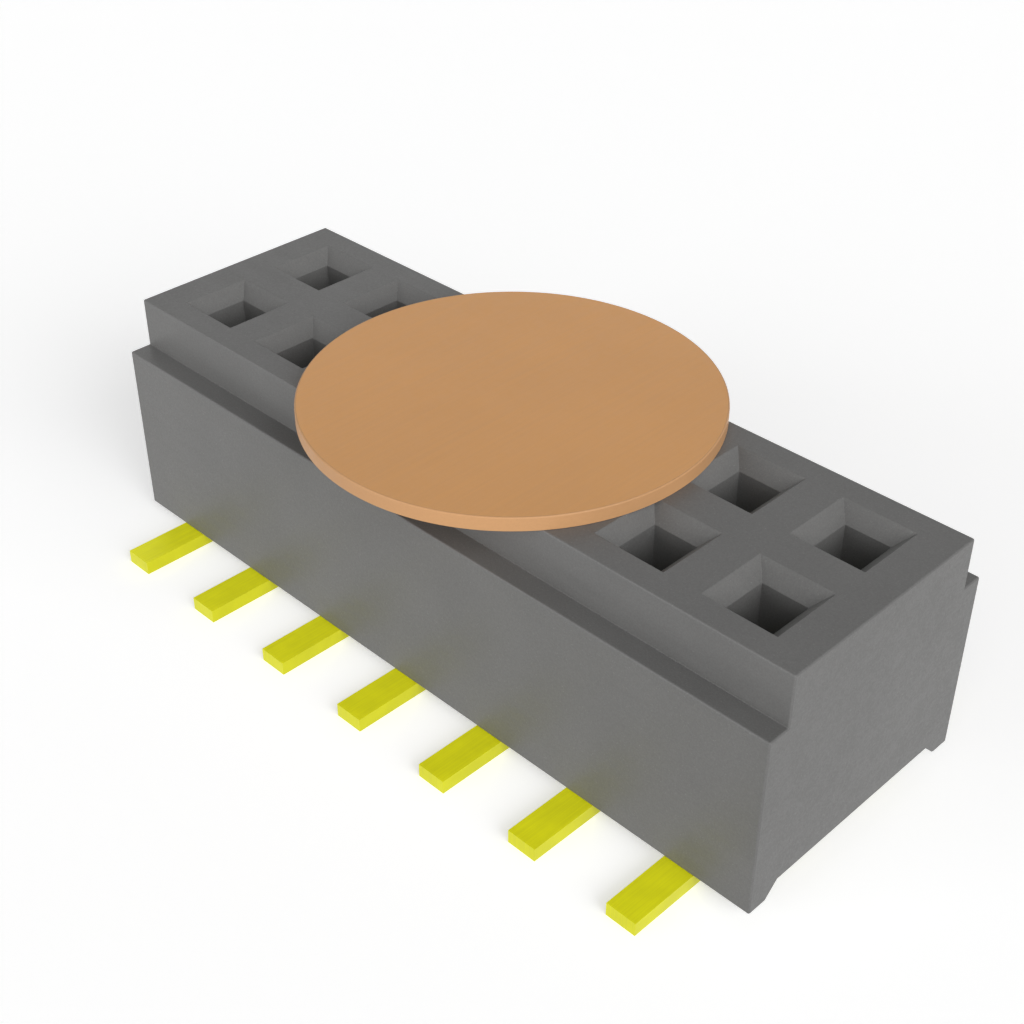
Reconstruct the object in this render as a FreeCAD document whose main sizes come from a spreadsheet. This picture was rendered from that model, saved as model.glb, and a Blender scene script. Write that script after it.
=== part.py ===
import FreeCAD, Part
import math
import os
import Sketcher

# Surface-mount socket strip: two rows of spring contacts in one moulded housing.
# Frame: origin on the board under the middle of the housing, X along the rows, Z up, in millimetres.

Vector = FreeCAD.Vector

doc = FreeCAD.newDocument("pcb_socket")


# Driving dimensions in millimetres, each written once
sheet = doc.addObject("Spreadsheet::Sheet", "Sizes")
driving = {
    "positions": (7, "contacts in each row"),
    "pitch": (1.0, "from one contact to the next along a row"),
    "row_pitch": (1.0, "from one row to the other"),
    "end_margin": (0.6575, "from the last contact to the end of the housing"),
    "body_width": (2.54, "housing below the shoulders"),
    "shoulder_step": (0.203, "how far each shoulder stands out from the upper part"),
    "shoulder_depth": (0.457, "from the top face down to the shoulders"),
    "body_height": (2.12, "housing from its feet to its top face"),
    "foot_width": (0.187, "flat underside of each long foot"),
    "channel_depth": (0.127, "from the feet up to the ceiling between them"),
    "edge_radius": (0.015, "rounding of the long outer edges"),
    "end_break": (0.01, "chamfer of the edges round both ends"),
    "funnel_width": (0.66, "square mouth of each entry"),
    "funnel_depth": (0.127, "depth of the sloping lead-in"),
    "post_hole": (0.406, "square hole that guides the post"),
    "guide_depth": (0.46, "length of that hole below the lead-in"),
    "cavity_length": (0.72, "contact cavity along the row"),
    "cavity_width": (0.62, "contact cavity across the row"),
    "strip_thickness": (0.127, "sheet that the contacts are stamped from"),
    "bend_radius": (0.06, "inside radius of the formed bends"),
    "tail_width": (0.28, "soldered tail"),
    "tail_span": (3.806, "over the tips of both rows of tails"),
    "joggle_clearance": (0.03, "gap between the foot's slope and the joggled tail"),
    "lip_width": (0.42, "lip of the base plate that seats under the ceiling"),
    "lip_overlap": (0.08, "how far that lip reaches under the cavity's rim"),
    "window_width": (0.34, "square window in the base plate for a long post"),
    "window_radius": (0.05, "corners of that window"),
    "arm_side_clearance": (0.02, "gap between a spring arm and its cavity wall"),
    "arm_edge_clearance": (0.07, "gap beside the arms, which the barbs cross"),
    "arm_tip_width": (0.26, "spring arms at their tips"),
    "corner_cut": (0.04, "corners trimmed off the arm tips and the base plate's lip"),
    "arm_root_height": (0.4, "straight root of the arms above the base plate"),
    "lean_radius": (0.12, "bend where the arms start to lean in"),
    "contact_gap": (0.2, "between the two crowns with no post in"),
    "crown_radius": (0.25, "rounded crown that touches the post"),
    "crown_depth": (0.41, "from the top of the cavity down to the crowns"),
    "tip_gap": (0.35, "between the two flared tips"),
    "tip_depth": (0.06, "from the top of the cavity down to the tips"),
    "barb_height": (0.16, "from the base plate's top up to the barbs"),
    "barb_land": (0.06, "flat of each barb against the cavity wall"),
    "barb_length": (0.2, "barb with its ramp"),
    "pad_diameter": (3.505, "film pad for the placing nozzle"),
    "pad_thickness": (0.127, "film with its adhesive"),
}
for row, (alias, (size, meaning)) in enumerate(driving.items(), start=1):
    sheet.set(f"A{row}", meaning)
    sheet.set(f"B{row}", str(size))
    sheet.setAlias(f"B{row}", alias)
doc.recompute()


# Heights above the board
FEET = "Sizes.strip_thickness"
CEILING = f"({FEET} + Sizes.channel_depth)"
TOP = f"({FEET} + Sizes.body_height)"
SHOULDER = f"({TOP} - Sizes.shoulder_depth)"
CAVITY_TOP = f"({TOP} - Sizes.funnel_depth - Sizes.guide_depth)"

# Places along and across the housing
HALF_WIDTH = "(Sizes.body_width / 2)"
HALF_TOP = f"({HALF_WIDTH} - Sizes.shoulder_step)"
FOOT_EDGE = f"({HALF_WIDTH} - Sizes.foot_width)"
FIRST_COLUMN = "(-(Sizes.positions - 1) * Sizes.pitch / 2)"
ROW = "(Sizes.row_pitch / 2)"
LIP_END = "(Sizes.cavity_width / 2 + Sizes.lip_overlap)"

FACES_ALONG_X = 0.99  # least X of the normal of an end face
PLANES = {
    "XY": FreeCAD.Rotation(),
    "XZ": FreeCAD.Rotation(Vector(1, 0, 0), 90),
    "YZ": FreeCAD.Rotation(Vector(1, 1, 1), 120),
}


def value(expression):
    """The number that an expression on the sheet gives."""
    return float(sheet.evalExpression(expression))


def minus(expression):
    return f"(-({expression}))"


def mirrored(half):
    """Corners on both sides of the vertical axis, from those on its right side in order."""
    return half + [(minus(x), y) for x, y in reversed(half)]


def rectangle(width, height, centre_x="0", centre_y="0"):
    """Four corners, each as a pair of expressions."""
    return [
        (f"{centre_x} + {side_x} * {width} / 2", f"{centre_y} + {side_y} * {height} / 2")
        for side_x, side_y in ((-1, -1), (1, -1), (1, 1), (-1, 1))
    ]


def drive(sketch, constraint, expression):
    """Adds a constraint whose size follows the sheet."""
    index = sketch.addConstraint(constraint)
    sketch.setExpression(f"Constraints[{index}]", expression)


def pin_point(sketch, geometry, x, y):
    """Holds a point at its two distances from the sketch's origin."""
    drive(sketch, Sketcher.Constraint("DistanceX", -1, 1, geometry, 1, value(x)), x)
    drive(sketch, Sketcher.Constraint("DistanceY", -1, 1, geometry, 1, value(y)), y)


def corner_arc(before, corner, after, radius):
    """Tangent arc in a corner, with its two ends, and whether the line turns left there."""
    back = (before - corner).normalize()
    ahead = (after - corner).normalize()
    half_angle = back.getAngle(ahead) / 2
    middle = (back + ahead).normalize()
    centre = corner + middle * (radius / math.sin(half_angle))
    start = corner + back * (radius / math.tan(half_angle))
    end = corner + ahead * (radius / math.tan(half_angle))
    arc = Part.Arc(start, centre - middle * radius, end)
    turns_left = back.cross(ahead).z < 0
    return arc, start, end, turns_left


def draw_line(sketch, corners, radii=None, closed=True):
    """Straight runs through the corners, with a tangent arc where a corner has a radius.

    Corners and radii are expressions, so the whole line follows the sheet.
    """
    radii = radii or [None] * len(corners)
    points = [Vector(value(x), value(y), 0) for x, y in corners]
    count = len(points)
    starts = list(points)
    ends = list(points)
    arcs = {}
    for index, radius in enumerate(radii):
        if radius is None:
            continue
        before = points[index - 1]
        after = points[(index + 1) % count]
        arc, ends[index], starts[index], left = corner_arc(before, points[index], after, value(radius))
        arcs[index] = (sketch.addGeometry(arc, False), left)
    runs = []
    for index in range(count if closed else count - 1):
        following = (index + 1) % count
        runs.append(sketch.addGeometry(Part.LineSegment(starts[index], ends[following]), False))
    for index, (x, y) in enumerate(corners):
        marker = sketch.addGeometry(Part.Point(points[index]), True)
        pin_point(sketch, marker, x, y)
        coming = runs[index - 1] if closed or index > 0 else None
        going = runs[index] if index < len(runs) else None
        if index in arcs:
            arc, left = arcs[index]
            first, last = (1, 2) if left else (2, 1)
            sketch.addConstraint(Sketcher.Constraint("PointOnObject", marker, 1, coming))
            sketch.addConstraint(Sketcher.Constraint("PointOnObject", marker, 1, going))
            sketch.addConstraint(Sketcher.Constraint("Tangent", coming, 2, arc, first))
            sketch.addConstraint(Sketcher.Constraint("Tangent", arc, last, going, 1))
            drive(sketch, Sketcher.Constraint("Radius", arc, value(radii[index])), radii[index])
        else:
            if coming is not None:
                sketch.addConstraint(Sketcher.Constraint("Coincident", coming, 2, marker, 1))
            if going is not None:
                sketch.addConstraint(Sketcher.Constraint("Coincident", going, 1, marker, 1))


def origin_item(body, role):
    """A body's own origin plane or axis."""
    return [item for item in body.Origin.OriginFeatures if item.Role == role][0]


def body_sketch(body, name, plane, height=None):
    """Sketch on one of a body's own origin planes, lifted by an expression if one is given."""
    sketch = body.newObject("Sketcher::SketchObject", name)
    sketch.AttachmentSupport = [(origin_item(body, f"{plane}_Plane"), "")]
    sketch.MapMode = "FlatFace"
    if height:
        sketch.setExpression("AttachmentOffset.Base.z", height)
    return sketch


def free_sketch(name, plane):
    """Sketch on a plane of the document, for a piece that is built by booleans."""
    sketch = doc.addObject("Sketcher::SketchObject", name)
    sketch.Placement = FreeCAD.Placement(Vector(), PLANES[plane])
    return sketch


def prism(name, section, length):
    """Solid that reaches equally far to both sides of its section."""
    solid = doc.addObject("Part::Extrusion", name)
    solid.Base = section
    solid.DirMode = "Normal"
    solid.Solid = True
    solid.Symmetric = True
    solid.setExpression("LengthFwd", length)
    return solid


def strip(name, line, width):
    """Formed strip: a line along one face, thickened by the sheet, as wide as asked."""
    section = doc.addObject("Part::Offset2D", f"{name}_section")
    section.Source = line
    section.Mode = "Skin"
    section.Join = "Arc"
    section.Fill = True
    section.setExpression("Value", "Sizes.strip_thickness")
    return prism(name, section, width)


def combine(kind, name, base, tool):
    """Boolean of two solids."""
    result = doc.addObject(f"Part::{kind}", name)
    result.Base = base
    result.Tool = tool
    result.Refine = True
    return result


def make_bar(body):
    """Stepped bar on two long feet, with its long edges rounded and its end edges broken."""
    profile = body_sketch(body, "housing_profile", "YZ")
    right_side = [
        (f"{FOOT_EDGE} - Sizes.channel_depth", CEILING),
        (FOOT_EDGE, FEET),
        (HALF_WIDTH, FEET),
        (HALF_WIDTH, SHOULDER),
        (HALF_TOP, SHOULDER),
        (HALF_TOP, TOP),
    ]
    outer = "Sizes.edge_radius"
    radii = [None, outer, outer, outer, None, outer]
    draw_line(profile, mirrored(right_side), radii + radii[::-1])
    bar = body.newObject("PartDesign::Pad", "housing_bar")
    bar.Profile = profile
    bar.SideType = "Symmetric"
    bar.setExpression("Length", "(Sizes.positions - 1) * Sizes.pitch + 2 * Sizes.end_margin")
    doc.recompute()

    ends = body.newObject("PartDesign::Chamfer", "broken_ends")
    faces = enumerate(bar.Shape.Faces, start=1)
    end_faces = [f"Face{index}" for index, face in faces if abs(face.normalAt(0, 0).x) > FACES_ALONG_X]
    ends.Base = (bar, end_faces)
    ends.setExpression("Size", "Sizes.end_break")
    doc.recompute()


def make_cell(body):
    """Entry, guide hole and contact cavity of the first cell."""
    funnel = body.newObject("PartDesign::SubtractiveWedge", "funnel")
    funnel.AttachmentSupport = [(origin_item(body, "XY_Plane"), "")]
    funnel.MapMode = "FlatFace"
    funnel.AttachmentOffset = FreeCAD.Placement(Vector(), FreeCAD.Rotation(Vector(1, 0, 0), -90))
    place = {"x": FIRST_COLUMN, "y": minus(ROW), "z": TOP}
    for axis, expression in place.items():
        funnel.setExpression(f"AttachmentOffset.Base.{axis}", expression)
    for prefix, width in (("", "Sizes.funnel_width"), ("2", "Sizes.post_hole")):
        for side in "XZ":
            funnel.setExpression(f"{side}{prefix}min", minus(f"{width} / 2"))
            funnel.setExpression(f"{side}{prefix}max", f"{width} / 2")
    funnel.Ymin = 0
    funnel.setExpression("Ymax", "Sizes.funnel_depth")
    doc.recompute()

    hole = body_sketch(body, "post_hole", "XY", TOP)
    draw_line(hole, rectangle("Sizes.post_hole", "Sizes.post_hole", FIRST_COLUMN, minus(ROW)))
    guide = body.newObject("PartDesign::Pocket", "guide_hole")
    guide.Profile = hole
    guide.setExpression("Length", "Sizes.funnel_depth + Sizes.guide_depth")
    doc.recompute()

    opening = body_sketch(body, "cavity_opening", "XY", CEILING)
    draw_line(opening, rectangle("Sizes.cavity_length", "Sizes.cavity_width", FIRST_COLUMN, minus(ROW)))
    cavity = body.newObject("PartDesign::Pocket", "cavity")
    cavity.Profile = opening
    cavity.Reversed = True
    cavity.setExpression("Length", f"{CAVITY_TOP} - {CEILING}")
    doc.recompute()
    return [funnel, guide, cavity]


def make_housing():
    """One moulding: the bar, with a cell for each contact in both rows."""
    body = doc.addObject("PartDesign::Body", "housing")
    make_bar(body)
    first_cell = make_cell(body)
    cells = body.newObject("PartDesign::LinearPattern", "cells")
    cells.Originals = first_cell
    cells.Direction = (origin_item(body, "X_Axis"), [""])
    cells.Mode = "Spacing"
    cells.setExpression("Offset", "Sizes.pitch")
    cells.setExpression("Occurrences", "Sizes.positions")
    cells.Direction2 = (origin_item(body, "Y_Axis"), [""])
    cells.Mode2 = "Extent"
    cells.setExpression("Length2", "Sizes.row_pitch")
    cells.Occurrences2 = 2
    body.Tip = cells
    doc.recompute()
    return body


def make_tail():
    """Tail, joggle and base plate, cut from one strip.

    The strip's upper face follows the housing: flat under the foot, up its slope, flat under its ceiling.
    """
    tail_tip = "(-(Sizes.tail_span - Sizes.row_pitch) / 2)"
    slope_start = f"({ROW} - {FOOT_EDGE} + Sizes.joggle_clearance)"
    side = free_sketch("tail_side", "YZ")
    draw_line(
        side,
        [
            (tail_tip, FEET),
            (slope_start, FEET),
            (f"{slope_start} + Sizes.channel_depth", CEILING),
            (LIP_END, CEILING),
        ],
        [None, "Sizes.bend_radius", "(Sizes.bend_radius + Sizes.strip_thickness)", None],
        closed=False,
    )
    plan = free_sketch("tail_plan", "XY")
    right_edge = [
        ("Sizes.tail_width / 2", tail_tip),
        ("Sizes.tail_width / 2", "0"),
        ("Sizes.lip_width / 2", "0"),
        ("Sizes.lip_width / 2", f"{LIP_END} - Sizes.corner_cut"),
        ("Sizes.lip_width / 2 - Sizes.corner_cut", LIP_END),
    ]
    draw_line(plan, mirrored(right_edge))
    return combine(
        "Common",
        "tail",
        strip("tail_strip", side, "Sizes.lip_width"),
        prism("tail_outline", plan, f"2 * {CEILING}"),
    )


def make_arms():
    """Two spring arms bent up from the base plate, leaning in to their crowns and flared at the tips."""
    inner_face = "(Sizes.cavity_length / 2 - Sizes.arm_side_clearance - Sizes.strip_thickness)"
    root_top = f"({CEILING} + Sizes.arm_root_height)"
    tip = f"({CAVITY_TOP} - Sizes.tip_depth)"
    front = free_sketch("arm_front", "XZ")
    right_arm = [
        ("Sizes.tip_gap / 2", tip),
        ("Sizes.contact_gap / 2", f"{CAVITY_TOP} - Sizes.crown_depth"),
        (inner_face, root_top),
        (inner_face, CEILING),
    ]
    bends = [None, "Sizes.crown_radius", "Sizes.lean_radius", "Sizes.bend_radius"]
    draw_line(front, mirrored(right_arm), bends + bends[::-1], closed=False)

    barb_bottom = f"({CEILING} + Sizes.barb_height)"
    arm_edge = "(Sizes.cavity_width / 2 - Sizes.arm_edge_clearance)"
    side = free_sketch("arm_side", "YZ")
    right_edge = [
        (arm_edge, "0"),
        (arm_edge, barb_bottom),
        ("Sizes.cavity_width / 2", barb_bottom),
        ("Sizes.cavity_width / 2", f"{barb_bottom} + Sizes.barb_land"),
        (arm_edge, f"{barb_bottom} + Sizes.barb_length"),
        (arm_edge, root_top),
        ("Sizes.arm_tip_width / 2", f"{tip} - Sizes.corner_cut"),
        ("Sizes.arm_tip_width / 2 - Sizes.corner_cut", tip),
    ]
    draw_line(side, mirrored(right_edge))
    return combine(
        "Common",
        "arms",
        strip("arm_strip", front, "Sizes.cavity_width"),
        prism("arm_outline", side, "Sizes.cavity_length"),
    )


def make_contact():
    """Stamped contact with its tail towards the near side and its origin on the board, under its post."""
    window = free_sketch("window", "XY")
    window_corners = rectangle("Sizes.window_width", "Sizes.window_width")
    draw_line(window, window_corners, ["Sizes.window_radius"] * len(window_corners))
    formed = combine("Fuse", "formed_strip", make_arms(), make_tail())
    contact = combine("Cut", "contact", formed, prism("window_cut", window, f"2 * {CEILING}"))
    doc.recompute()
    return contact


def place_contacts(contact):
    """The same stamping in every cell, turned half round in the rear row."""
    copies = []
    for row, side, turn in (("front", -1, 0), ("rear", 1, 180)):
        for index in range(int(value("Sizes.positions"))):
            copy = doc.addObject("PartDesign::Body", f"contact_{row}_{index + 1}")
            copy.BaseFeature = contact
            copy.Placement = FreeCAD.Placement(Vector(), FreeCAD.Rotation(Vector(0, 0, 1), turn))
            copy.setExpression("Placement.Base.x", f"{FIRST_COLUMN} + {index} * Sizes.pitch")
            copy.setExpression("Placement.Base.y", f"{side} * {ROW}")
            copies.append(copy)
    doc.recompute()
    return copies


def make_pad():
    """Die-cut disc of film, stuck on the top face for the placing nozzle."""
    body = doc.addObject("PartDesign::Body", "pickup_pad")
    outline = body_sketch(body, "pad_outline", "XY", TOP)
    diameter = "Sizes.pad_diameter"
    disc = Part.Circle(Vector(), Vector(0, 0, 1), value(diameter) / 2)
    circle = outline.addGeometry(disc, False)
    outline.addConstraint(Sketcher.Constraint("Coincident", circle, 3, -1, 1))
    drive(outline, Sketcher.Constraint("Diameter", circle, value(diameter)), diameter)
    film = body.newObject("PartDesign::Pad", "pad_film")
    film.Profile = outline
    film.setExpression("Length", "Sizes.pad_thickness")
    doc.recompute()
    return body


housing = make_housing()
contacts = place_contacts(make_contact())
pad = make_pad()
parts = [housing, pad] + contacts

for item in doc.Objects:
    assert not {"Invalid", "Error"} & set(item.State), f"{item.Label} failed: {item.State}"
for part in parts:
    assert not part.Shape.isNull() and part.Shape.isValid(), f"{part.Label} has no valid shape"
    assert len(part.Shape.Solids) == 1, f"{part.Label} isn't one solid"

os.makedirs("parts", exist_ok=True)
for part in parts:
    part.Shape.exportStep(f"parts/{part.Label}.step")
    print(part.Label, round(part.Shape.Volume, 4), "mm3", len(part.Shape.Faces), "faces")
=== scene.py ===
import math

import bmesh
import bpy
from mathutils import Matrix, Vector


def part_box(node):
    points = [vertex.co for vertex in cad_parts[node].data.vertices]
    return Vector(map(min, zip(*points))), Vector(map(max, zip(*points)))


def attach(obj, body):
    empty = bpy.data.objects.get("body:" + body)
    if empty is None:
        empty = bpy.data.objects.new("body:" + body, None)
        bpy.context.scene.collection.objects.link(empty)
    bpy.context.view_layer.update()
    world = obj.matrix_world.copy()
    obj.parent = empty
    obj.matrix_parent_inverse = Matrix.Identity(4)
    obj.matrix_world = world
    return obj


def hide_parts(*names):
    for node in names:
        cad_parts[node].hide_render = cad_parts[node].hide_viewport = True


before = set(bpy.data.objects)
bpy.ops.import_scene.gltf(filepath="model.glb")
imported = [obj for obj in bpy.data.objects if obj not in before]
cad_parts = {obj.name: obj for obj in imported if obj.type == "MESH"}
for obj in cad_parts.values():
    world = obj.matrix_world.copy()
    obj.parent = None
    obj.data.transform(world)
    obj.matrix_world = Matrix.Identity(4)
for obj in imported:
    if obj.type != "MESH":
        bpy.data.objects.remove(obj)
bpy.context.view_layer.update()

# Housing: one grey bar of glass-filled, heat-proof plastic, injection moulded with all its entries.
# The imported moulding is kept. Its edges get the small radius that every moulded edge has, and the
# surface gets the fine grain of the spark-eroded mould, the filler's specks and faint flow lines.
MILLIMETRE = 0.001
MICRON = 0.000001
WELD_MM = 0.0005
PLAIN_ANGLE = math.radians(1.2)
EDGE_ANGLE = math.radians(34)
EDGE_SEGMENTS = 2
LARGE_FACE_WEIGHT = 100
MOULDED_EDGE_MM = 0.009

MOULDED_GREY = (0.136, 0.135, 0.132)
PLASTIC_REFRACTION = 1.38
FLECK_SIZE = 11 * MICRON
SPECK_SIZE = 14 * MICRON
MOULD_GRAIN_SIZE = 26 * MICRON
FLOW_LINE_SIZE = 90 * MICRON
FLOW_LINE_STRETCH = (9, 1.4, 1)
CLOUD_SIZE = 700 * MICRON
MOULD_RELIEF = 1.0 * MICRON
SPECK_HEIGHT = 0.3


def rescaling(name, factor, join=False):
    """Geometry nodes that resize a mesh, and join its loose faces first when asked."""
    tree = bpy.data.node_groups.new(name, "GeometryNodeTree")
    for side in ("INPUT", "OUTPUT"):
        tree.interface.new_socket("Geometry", in_out=side, socket_type="NodeSocketGeometry")
    start = tree.nodes.new("NodeGroupInput")
    end = tree.nodes.new("NodeGroupOutput")
    resize = tree.nodes.new("GeometryNodeTransform")
    resize.inputs["Scale"].default_value = (factor, factor, factor)
    tree.links.new(start.outputs[0], resize.inputs["Geometry"])
    last = resize
    if join:
        merge = tree.nodes.new("GeometryNodeMergeByDistance")
        merge.inputs["Distance"].default_value = WELD_MM
        shade = tree.nodes.new("GeometryNodeSetShadeSmooth")
        tree.links.new(resize.outputs[0], merge.inputs["Geometry"])
        tree.links.new(merge.outputs[0], shade.inputs["Geometry"])
        last = shade
    tree.links.new(last.outputs[0], end.inputs[0])
    return tree


TO_MILLIMETRES = rescaling("to millimetres", 1 / MILLIMETRE, join=True)
TO_METRES = rescaling("to metres", MILLIMETRE)


def round_edges(piece, radius_mm):
    """Small radius on every sharp edge, with plain faces kept flat between them. It is worked in
    millimetres because the piece is so small."""
    piece.modifiers.new("to millimetres", "NODES").node_group = TO_MILLIMETRES
    whole = piece.modifiers.new("whole faces", "DECIMATE")
    whole.decimate_type = "DISSOLVE"
    whole.angle_limit = PLAIN_ANGLE
    edges = piece.modifiers.new("rounded edges", "BEVEL")
    edges.width = radius_mm
    edges.segments = EDGE_SEGMENTS
    edges.limit_method = "ANGLE"
    edges.angle_limit = EDGE_ANGLE
    flat = piece.modifiers.new("flat faces", "WEIGHTED_NORMAL")
    flat.mode = "FACE_AREA"
    flat.weight = LARGE_FACE_WEIGHT
    flat.keep_sharp = False
    piece.modifiers.new("to metres", "NODES").node_group = TO_METRES


def add_node(tree, kind, inputs=None, **settings):
    """A shader node with its settings, each input linked to a socket or given a number."""
    made = tree.nodes.new(f"ShaderNode{kind}")
    for key, setting in settings.items():
        setattr(made, key, setting)
    for key, source in (inputs or {}).items():
        if isinstance(source, bpy.types.NodeSocket):
            tree.links.new(source, made.inputs[key])
        else:
            made.inputs[key].default_value = source
    return made


class Finish:
    """A material and its nodes, with the steps that its grain and tones are built from."""

    def __init__(self, name, refraction, metallic=0.0):
        self.material = bpy.data.materials.new(name)
        self.material.use_nodes = True
        self.tree = self.material.node_tree
        self.shader = self.tree.nodes["Principled BSDF"]
        self.shader.inputs["IOR"].default_value = refraction
        self.shader.inputs["Metallic"].default_value = metallic
        coordinates = self.node("TexCoord")
        self.place = coordinates.outputs["Object"]
        self.facing = coordinates.outputs["Normal"]

    def node(self, kind, inputs=None, **settings):
        return add_node(self.tree, kind, inputs, **settings)

    def grain(self, size, detail=2.0, roughness=0.5, stretch=(1, 1, 1), warp=0.0):
        """Noise from 0 to 1 with grains of this size in metres, longer by the stretch."""
        scale = [1 / (size * longer) for longer in stretch]
        spread = self.node("Mapping", {"Vector": self.place, "Scale": scale})
        form = {"Scale": 1.0, "Detail": detail, "Roughness": roughness, "Distortion": warp}
        return self.node("TexNoise", {"Vector": spread.outputs[0], **form}).outputs["Fac"]

    def between(self, source, low, high, start=0.35, stop=0.65):
        """A number that goes from low to high as the source goes from start to stop."""
        limits = {"From Min": start, "From Max": stop, "To Min": low, "To Max": high}
        return self.node("MapRange", {"Value": source, **limits}).outputs[0]

    def varied(self, noise, by):
        """A tone around 1 that the noise makes darker and lighter by this much."""
        return self.between(noise, 1 - by, 1 + by)

    def multiply(self, first, *others):
        for other in others:
            first = self.node("Math", {0: first, 1: other}, operation="MULTIPLY").outputs[0]
        return first

    def add(self, first, second):
        return self.node("Math", {0: first, 1: second}, operation="ADD").outputs[0]

    def base_colour(self, colour, tone):
        """The colour, made darker or lighter by a tone around 1."""
        toned = self.node("VectorMath", {0: colour, "Scale": tone}, operation="SCALE")
        self.tree.links.new(toned.outputs[0], self.shader.inputs["Base Color"])

    def satin(self, source, smooth, rough):
        """Roughness from smooth to rough, led by two noises added up."""
        roughness = self.between(source, smooth, rough, start=0.8, stop=1.2)
        self.tree.links.new(roughness, self.shader.inputs["Roughness"])

    def relief(self, height, depth):
        """Bump from a height of 0 to 1, as deep as the real relief."""
        bump = self.node("Bump", {"Height": height, "Distance": depth, "Strength": 1.0})
        self.tree.links.new(bump.outputs[0], self.shader.inputs["Normal"])


def moulded_plastic():
    finish = Finish("moulded plastic", PLASTIC_REFRACTION)
    specks = finish.grain(SPECK_SIZE, roughness=0.6)
    mould_grain = finish.grain(MOULD_GRAIN_SIZE)
    flow = finish.grain(FLOW_LINE_SIZE, stretch=FLOW_LINE_STRETCH, warp=0.4)
    clouds = finish.grain(CLOUD_SIZE, detail=3.0)
    flecks = finish.grain(FLECK_SIZE, detail=1.0)
    tone = finish.multiply(
        finish.varied(specks, by=0.07),
        finish.varied(clouds, by=0.03),
        finish.varied(flow, by=0.02),
        finish.between(flecks, 1.0, 1.35, start=0.69, stop=0.75),
    )
    finish.base_colour(MOULDED_GREY, tone)
    finish.satin(finish.add(flow, mould_grain), smooth=0.40, rough=0.52)
    finish.relief(finish.add(mould_grain, finish.multiply(specks, SPECK_HEIGHT)), MOULD_RELIEF)
    return finish.material


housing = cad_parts["housing"]
round_edges(housing, MOULDED_EDGE_MM)
housing.data.materials.clear()
housing.data.materials.append(moulded_plastic())

# Contacts: fourteen alike, blanked and formed from thin spring strip and gold plated all over.
# They are pushed up into the cavities from below, and their barbs bite into the walls. The rolls leave
# fine lines along the strip, and the punch leaves the cut edges a little rounded.
PUNCHED_EDGE_MM = 0.005

PLATED_YELLOW = (0.93, 0.92, 0.012)
PLATING_REFRACTION = 1.35
PLATING_METALLIC = 0.20
# Painted light and shade: the plating's tone follows which way a face points. It is darker on the side faces
# and lighter on the faces that point up or down.
SIDE_FACE_PAINTED_SHADE = 0.76
LEVEL_FACE_PAINTED_LIGHT = 1.02
ROLLED_LINE_SIZE = 9 * MICRON
ROLLED_LINE_STRETCH = (1, 60, 60)
PLATING_GRAIN_SIZE = 16 * MICRON
TINT_SIZE = 240 * MICRON
PLATING_RELIEF = 0.5 * MICRON
PLATING_GRAIN_HEIGHT = 0.6


def plated_strip():
    finish = Finish("plated strip", PLATING_REFRACTION, PLATING_METALLIC)
    facing = finish.node("SeparateXYZ", {0: finish.facing})
    upright = finish.node("Math", {0: facing.outputs["Z"]}, operation="ABSOLUTE").outputs[0]
    rolled = finish.grain(ROLLED_LINE_SIZE, stretch=ROLLED_LINE_STRETCH)
    plating = finish.grain(PLATING_GRAIN_SIZE, detail=3.0, roughness=0.6)
    tint = finish.grain(TINT_SIZE)
    tone = finish.multiply(
        finish.between(tint, 0.96, 1.03),
        finish.varied(rolled, by=0.03),
        # Painted light and shade: darker where the face points sideways, lighter where it points up or down.
        finish.between(upright, SIDE_FACE_PAINTED_SHADE, LEVEL_FACE_PAINTED_LIGHT, start=0.5, stop=0.8),
    )
    finish.base_colour(PLATED_YELLOW, tone)
    finish.satin(finish.add(rolled, plating), smooth=0.34, rough=0.48)
    finish.relief(finish.add(rolled, finish.multiply(plating, PLATING_GRAIN_HEIGHT)), PLATING_RELIEF)
    return finish.material


PLATED_STRIP = plated_strip()
for name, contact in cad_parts.items():
    if name.startswith("contact"):
        round_edges(contact, PUNCHED_EDGE_MM)
        contact.data.materials.clear()
        contact.data.materials.append(PLATED_STRIP)

# Pickup pad: a disc of tan polyimide film, die cut and stuck on the top face, so that a vacuum nozzle
# can lift the strip. It is satin, with fine lines from the film's drawing. Its cut rim is a little
# rounded over at the top and broken at the bottom.
RIM_STEPS = 144
RIM_ROUND = 0.014 * MILLIMETRE
LOWER_RIM_BREAK = RIM_ROUND / 2
ROUND_STEPS = 4
FILM_FACE = 0
CUT_EDGE = 1

FILM_TAN = (0.72, 0.365, 0.135)
FILM_REFRACTION = 1.38
# The rim's tan is a darker copy of the film's tan, as painted shade on the rim band.
RIM_PAINTED_SHADE_TAN = (0.55, 0.300, 0.140)
CUT_FILM_REFRACTION = 1.30
DRAWN_LINE_SIZE = 14 * MICRON
DRAWN_LINE_STRETCH = (1.2, 70, 1)
DIMPLE_SIZE = 60 * MICRON
FILM_CLOUD_SIZE = 900 * MICRON
FILM_RELIEF = 1.2 * MICRON
DRAWN_LINE_HEIGHT = 0.4


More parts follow.
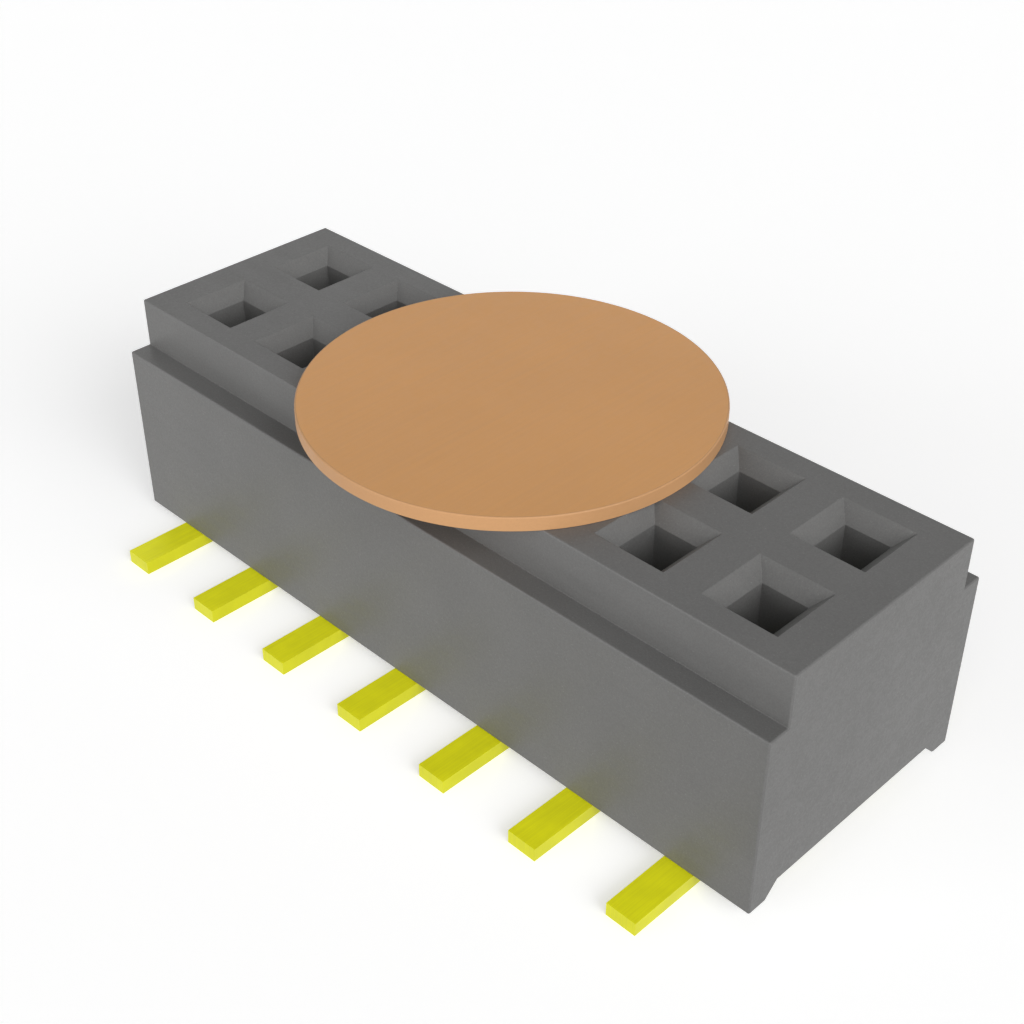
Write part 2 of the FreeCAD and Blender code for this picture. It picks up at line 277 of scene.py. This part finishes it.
def film_disc(name, low, high):
    """Disc with a rolled-over upper rim that fills the box from low to high."""
    middle = (low + high) / 2
    radius = (high.x - low.x) / 2
    # Each ring's radius and height, and how far its surface is tilted up
    profile = [(radius - LOWER_RIM_BREAK, low.z, -math.pi / 2), (radius, low.z + LOWER_RIM_BREAK, 0.0)]
    for step in range(ROUND_STEPS + 1):
        tilt = math.pi / 2 * step / ROUND_STEPS
        inwards = RIM_ROUND * (1 - math.cos(tilt))
        downwards = RIM_ROUND * (1 - math.sin(tilt))
        profile.append((radius - inwards, high.z - downwards, tilt))
    shape = bmesh.new()
    rings = []
    facings = []
    for out, height, tilt in profile:
        ring = []
        for step in range(RIM_STEPS):
            turn = 2 * math.pi * step / RIM_STEPS
            outwards = Vector((math.cos(turn), math.sin(turn), 0))
            ring.append(shape.verts.new(Vector((middle.x, middle.y, height)) + out * outwards))
            facings.append(math.cos(tilt) * outwards + Vector((0, 0, math.sin(tilt))))
        rings.append(ring)
    shape.faces.new(reversed(rings[0]))
    for lower, upper in zip(rings, rings[1:]):
        for step in range(RIM_STEPS):
            following = (step + 1) % RIM_STEPS
            shape.faces.new((lower[step], lower[following], upper[following], upper[step]))
    shape.faces.new(rings[-1])
    mesh = bpy.data.meshes.new(name)
    shape.to_mesh(mesh)
    shape.free()
    for polygon in mesh.polygons:
        polygon.use_smooth = True
        polygon.material_index = CUT_EDGE if len(polygon.vertices) < RIM_STEPS else FILM_FACE
    mesh.normals_split_custom_set_from_vertices(facings)
    piece = bpy.data.objects.new(name, mesh)
    bpy.context.collection.objects.link(piece)
    return piece


def film_finish(name, colour, refraction):
    finish = Finish(name, refraction)
    drawn = finish.grain(DRAWN_LINE_SIZE, stretch=DRAWN_LINE_STRETCH)
    dimples = finish.grain(DIMPLE_SIZE, detail=3.0)
    clouds = finish.grain(FILM_CLOUD_SIZE)
    tone = finish.multiply(finish.varied(clouds, by=0.015), finish.varied(drawn, by=0.015))
    finish.base_colour(colour, tone)
    finish.satin(finish.add(drawn, dimples), smooth=0.34, rough=0.48)
    finish.relief(finish.add(finish.multiply(drawn, DRAWN_LINE_HEIGHT), dimples), FILM_RELIEF)
    return finish.material


pad = film_disc("film_pad", *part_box("pickup_pad"))
pad.data.materials.append(film_finish("drawn film", FILM_TAN, FILM_REFRACTION))
# The rim band gets the darker copy of the film, as painted shade.
pad.data.materials.append(film_finish("film rim with painted shade", RIM_PAINTED_SHADE_TAN, CUT_FILM_REFRACTION))
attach(pad, "root")
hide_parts("pickup_pad")

# Table: a wide white sheet under the strip. It is white where the camera sees it, keeps the strip's
# shadow, and can be seen through from below.
TABLE_SIZE = 1.2
SHEET_GLOW = 0.47
SHEET_WHITE = 0.80


def white_sheet():
    material = bpy.data.materials.new("white sheet")
    material.use_nodes = True
    tree = material.node_tree
    tree.nodes.clear()
    paper = add_node(tree, "BsdfDiffuse", {"Color": (SHEET_WHITE, SHEET_WHITE, SHEET_WHITE, 1)})
    glow = add_node(tree, "Emission", {"Strength": SHEET_GLOW})
    lit = add_node(tree, "AddShader", {0: paper.outputs[0], 1: glow.outputs[0]})
    clear = add_node(tree, "BsdfTransparent")
    below = add_node(tree, "NewGeometry").outputs["Backfacing"]
    sheet = add_node(tree, "MixShader", {0: below, 1: lit.outputs[0], 2: clear.outputs[0]})
    add_node(tree, "OutputMaterial", {"Surface": sheet.outputs[0]})
    return material


half = TABLE_SIZE / 2
corners = [(-half, -half, 0), (half, -half, 0), (half, half, 0), (-half, half, 0)]
sheet_mesh = bpy.data.meshes.new("white_table")
sheet_mesh.from_pydata(corners, [], [(0, 1, 2, 3)])
sheet_mesh.materials.append(white_sheet())
table = bpy.data.objects.new("white_table", sheet_mesh)
bpy.context.collection.objects.link(table)
table.visible_diffuse = False
table.visible_glossy = False
table.visible_shadow = False

# Lamps: wide soft ones at the right and the left, and a weaker one in front. Each has its azimuth and
# elevation in degrees, its level, and its width in degrees.
LAMPS = {
    "lamp_right": (84, 26, 0.57, 44),
    "lamp_left": (-20, 8, 0.41, 44),
    "lamp_front": (45, 35, 0.38, 60),
}


def direction(azimuth, elevation):
    """Unit vector from the strip towards a place round it, in degrees as seen from the near side."""
    around = math.radians(azimuth)
    above = math.radians(elevation)
    return Vector((math.sin(around) * math.cos(above), -math.cos(around) * math.cos(above), math.sin(above)))


for name, (azimuth, elevation, level, width) in LAMPS.items():
    lamp = bpy.data.lights.new(name, "SUN")
    lamp.energy = level * math.pi
    lamp.angle = math.radians(width)
    holder = bpy.data.objects.new(name, lamp)
    holder.rotation_euler = direction(azimuth, elevation).to_track_quat("Z", "Y").to_euler()
    bpy.context.collection.objects.link(holder)

# Light tent: white cloth all round the strip. Its light is strongest low down and weak from the roof,
# and the camera and the reflections see it plain white.
TENT_WALL = 0.33
TENT_ROOF = 0.01
TENT_FLOOR = 0.42
TENT_WHITE = 1.0


def light_tent():
    tent = bpy.data.worlds.new("light tent")
    tent.use_nodes = True
    tree = tent.node_tree
    looking = add_node(tree, "TexCoord").outputs["Generated"]
    height = add_node(tree, "SeparateXYZ", {0: looking}).outputs["Z"]
    upper = add_node(tree, "MapRange", {"Value": height, "To Min": TENT_WALL, "To Max": TENT_ROOF})
    is_upper = add_node(tree, "Math", {0: height, 1: 0.0}, operation="GREATER_THAN")
    light = {"Factor": is_upper.outputs[0], "A": TENT_FLOOR, "B": upper.outputs[0]}
    lighting = add_node(tree, "Mix", light)
    rays = add_node(tree, "LightPath")
    seen = rays.outputs["Is Camera Ray"]
    for kind in ("Is Glossy Ray", "Is Transmission Ray"):
        seen = add_node(tree, "Math", {0: seen, 1: rays.outputs[kind]}, operation="MAXIMUM").outputs[0]
    strength = add_node(tree, "Mix", {"Factor": seen, "A": lighting.outputs[0], "B": TENT_WHITE})
    cloth = tree.nodes["Background"]
    cloth.inputs["Color"].default_value = (1, 1, 1, 1)
    tree.links.new(strength.outputs[0], cloth.inputs["Strength"])
    return tent


bpy.context.scene.world = light_tent()

# Camera: level with the picture's, at one corner of the strip and above it, with the lens and the
# distance that put the strip's corners where the picture has them.
CAMERA_AZIMUTH = 45
CAMERA_ELEVATION = 35.26
CAMERA_DISTANCE = 13.80 * MILLIMETRE
CAMERA_AIM = Vector((0, 0, 1.186 * MILLIMETRE))
CAMERA_LENS = 57.03
CAMERA_NEAR = 1 * MILLIMETRE

camera = bpy.data.cameras.new("camera")
camera.lens = CAMERA_LENS
camera.clip_start = CAMERA_NEAR
camera.clip_end = TABLE_SIZE * 2
tripod = bpy.data.objects.new("camera", camera)
towards = direction(CAMERA_AZIMUTH, CAMERA_ELEVATION)
tripod.location = CAMERA_AIM + towards * CAMERA_DISTANCE
tripod.rotation_euler = towards.to_track_quat("Z", "Y").to_euler()
bpy.context.collection.objects.link(tripod)
bpy.context.scene.camera = tripod
bpy.context.scene.view_settings.view_transform = "Standard"
